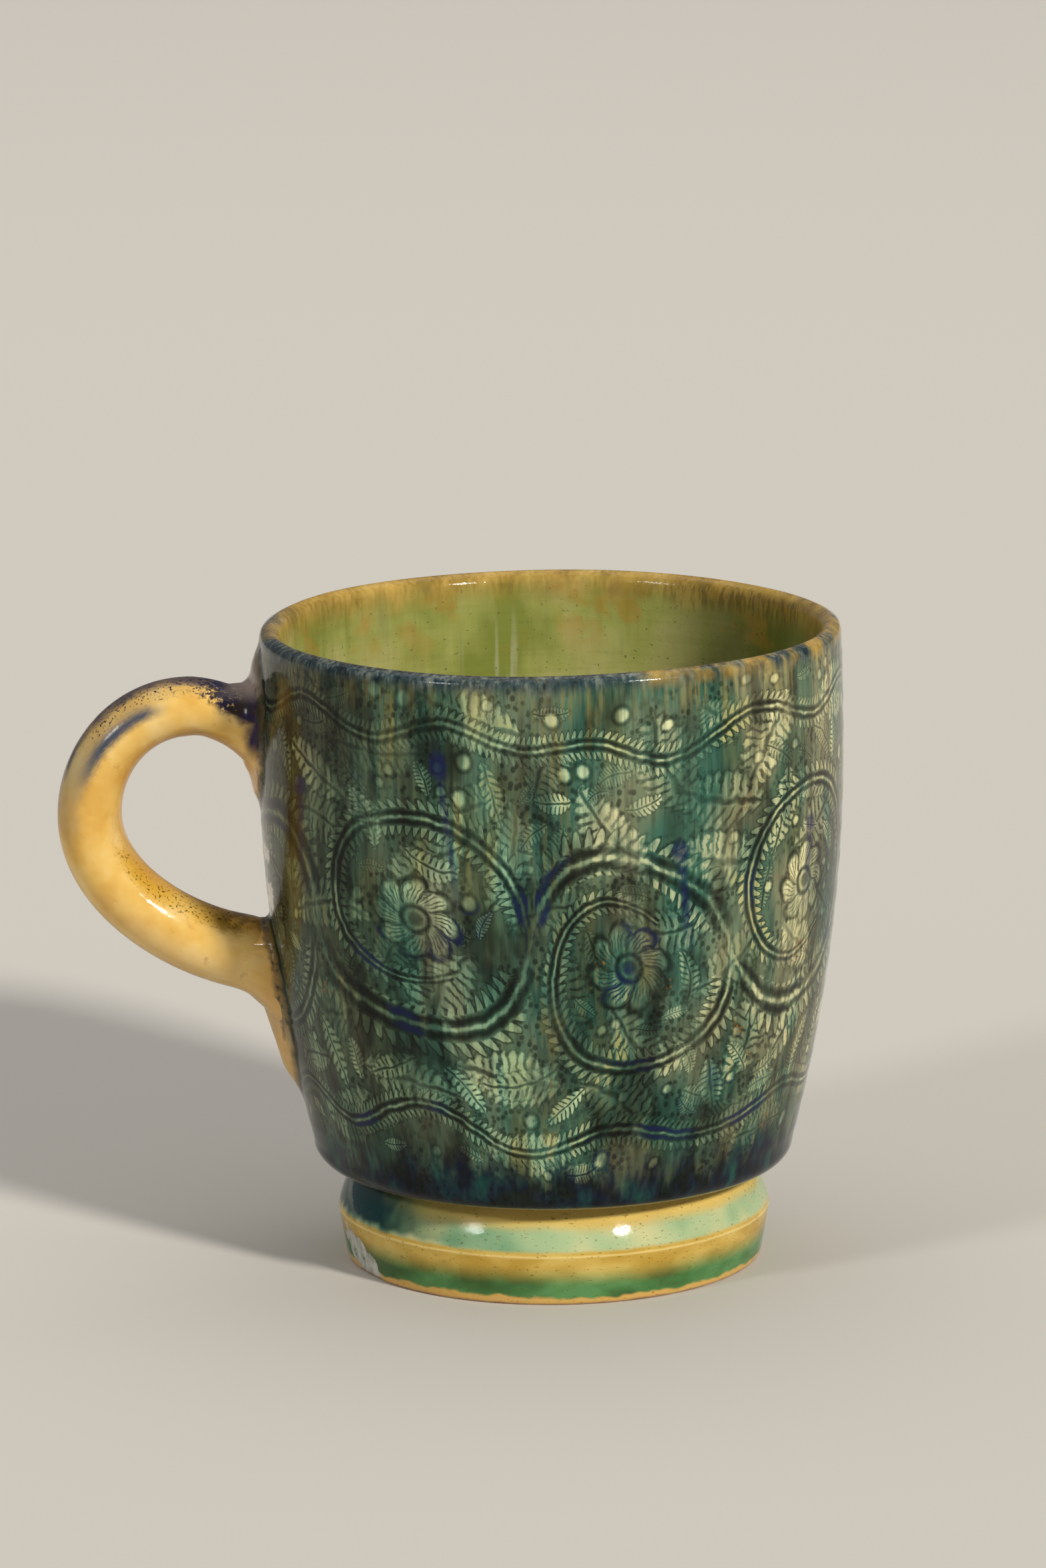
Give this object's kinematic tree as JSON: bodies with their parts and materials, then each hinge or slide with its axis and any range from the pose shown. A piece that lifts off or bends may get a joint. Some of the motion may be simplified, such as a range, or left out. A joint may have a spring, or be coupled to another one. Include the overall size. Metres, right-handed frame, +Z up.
{
  "type": "clay mug",
  "caption": "Glazed earthenware mug: a thrown cup with a rounded lip on a stepped foot ring, with a pulled loop handle luted to its side.",
  "frame": {"origin": "on the cup's axis, in the plane of the foot ring's base", "axes": "+Z up along the cup's axis; -X towards the handle; +Y completes the right-handed set"},
  "size_m": [0.1174, 0.0874, 0.097],
  "materials": {
    "painted_glaze": "glossy glaze over brushed green and blue decoration",
    "banded_glaze": "glossy glaze in ochre and green bands",
    "amber_glaze": "glossy amber glaze with blue runs",
    "fired_slip": "matt fired clay slip"
  },
  "bodies": {
    "root": {"cup_body": "painted_glaze", "foot_ring": "banded_glaze", "handle": "amber_glaze", "foot_slip_seam": "fired_slip", "upper_slip_seam": "fired_slip", "lower_slip_seam": "fired_slip"}
  },
  "joints": []
}
